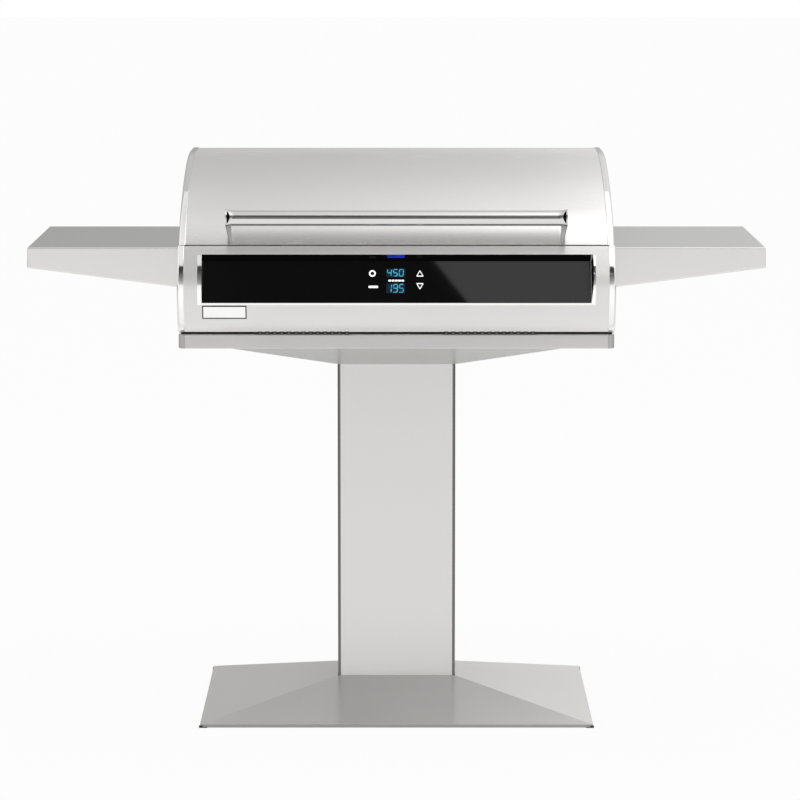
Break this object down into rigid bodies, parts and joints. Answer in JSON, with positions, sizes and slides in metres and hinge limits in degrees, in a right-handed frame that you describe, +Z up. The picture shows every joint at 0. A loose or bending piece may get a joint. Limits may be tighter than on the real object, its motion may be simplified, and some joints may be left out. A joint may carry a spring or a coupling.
{
  "type": "electric pedestal grill",
  "caption": "Free-standing stainless steel electric grill: roll-top hood with bar handle over a body with a touch-glass panel, side shelves, rectangular post and low pyramid base.",
  "frame": {"origin": "centre of the four floor anchors, on the ground under the middle of the post", "axes": "+Z up, front (control panel and handle) towards -Y, +X to the right as seen from the front"},
  "size_m": [1.22, 0.5355, 0.9398],
  "materials": {
    "brushed_steel_sheet": "brushed stainless steel sheet, grain along its length",
    "polished_steel": "polished stainless steel",
    "plain_steel": "plain zinc-coated steel",
    "black_glass": "black-backed toughened glass, polished",
    "black_plastic": "moulded black plastic",
    "black_rubber": "moulded black rubber",
    "ceramic": "glazed ceramic",
    "circuit_board": "coated circuit board",
    "cast_cooking_grid": "seasoned welded steel bars, near black",
    "heated_tube": "steel-sheathed heating tube, dulled by heat"
  },
  "bodies": {
    "root": {"base_cover": "brushed_steel_sheet", "floor_plate": "plain_steel", "corner_glides": "black_rubber", "post_tube": "brushed_steel_sheet", "post_foot_flange": "plain_steel", "foot_bolts": "plain_steel", "post_head_flange": "plain_steel", "head_bolts": "plain_steel", "cradle_pyramid": "brushed_steel_sheet", "cradle_pan": "brushed_steel_sheet", "tray_rails": "plain_steel", "body_gasket": "black_rubber", "body_bolts": "plain_steel", "body_end_cap_left": "polished_steel", "body_end_cap_right": "polished_steel", "fascia": "brushed_steel_sheet", "vent_louvres": "polished_steel", "rear_panel": "brushed_steel_sheet", "rear_screws": "polished_steel", "floor_panel": "plain_steel", "control_glass": "black_glass", "glass_head_strip": "black_glass", "glass_bezel": "polished_steel", "glass_retainer": "black_plastic", "control_housing": "black_plastic", "display_module": "black_plastic", "control_board": "circuit_board", "power_module": "plain_steel", "supply_terminal": "black_plastic", "wiring_loom": "black_rubber", "cable_gland": "black_plastic", "nameplate": "polished_steel", "firebox": "plain_steel", "grid_rails": "plain_steel", "cooking_grid_left": "cast_cooking_grid", "cooking_grid_right": "cast_cooking_grid", "heating_element": "heated_tube", "element_rack": "plain_steel", "element_terminals": "ceramic", "heat_reflector": "plain_steel", "temperature_probe": "polished_steel", "hood_bumpers": "black_rubber", "hinge_body_leaves": "polished_steel", "hinge_pins": "polished_steel", "hinge_screws": "polished_steel", "side_shelf_left": "brushed_steel_sheet", "side_shelf_right": "brushed_steel_sheet", "shelf_stiffeners": "plain_steel", "shelf_bolts": "plain_steel"},
    "hood": {"hood_skin": "brushed_steel_sheet", "hood_back": "brushed_steel_sheet", "hood_end_cap_left": "polished_steel", "hood_end_cap_right": "polished_steel", "handle_bar": "polished_steel", "handle_leg_left": "polished_steel", "handle_leg_right": "polished_steel", "handle_screws": "polished_steel", "hinge_hood_leaves": "polished_steel", "hood_hinge_screws": "polished_steel"},
    "grease_tray": {"grease_tray": "brushed_steel_sheet"}
  },
  "joints": [
    {"name": "hood_hinge", "type": "hinge", "parent": "root", "child": "hood", "pos_m": [0, 0.219, 0.806], "axis": [-1, 0, 0], "range_deg": [0, 88]},
    {"name": "grease_tray_slide", "type": "slide", "parent": "root", "child": "grease_tray", "axis": [0, 1, 0], "range_m": [0, 0.3]}
  ]
}
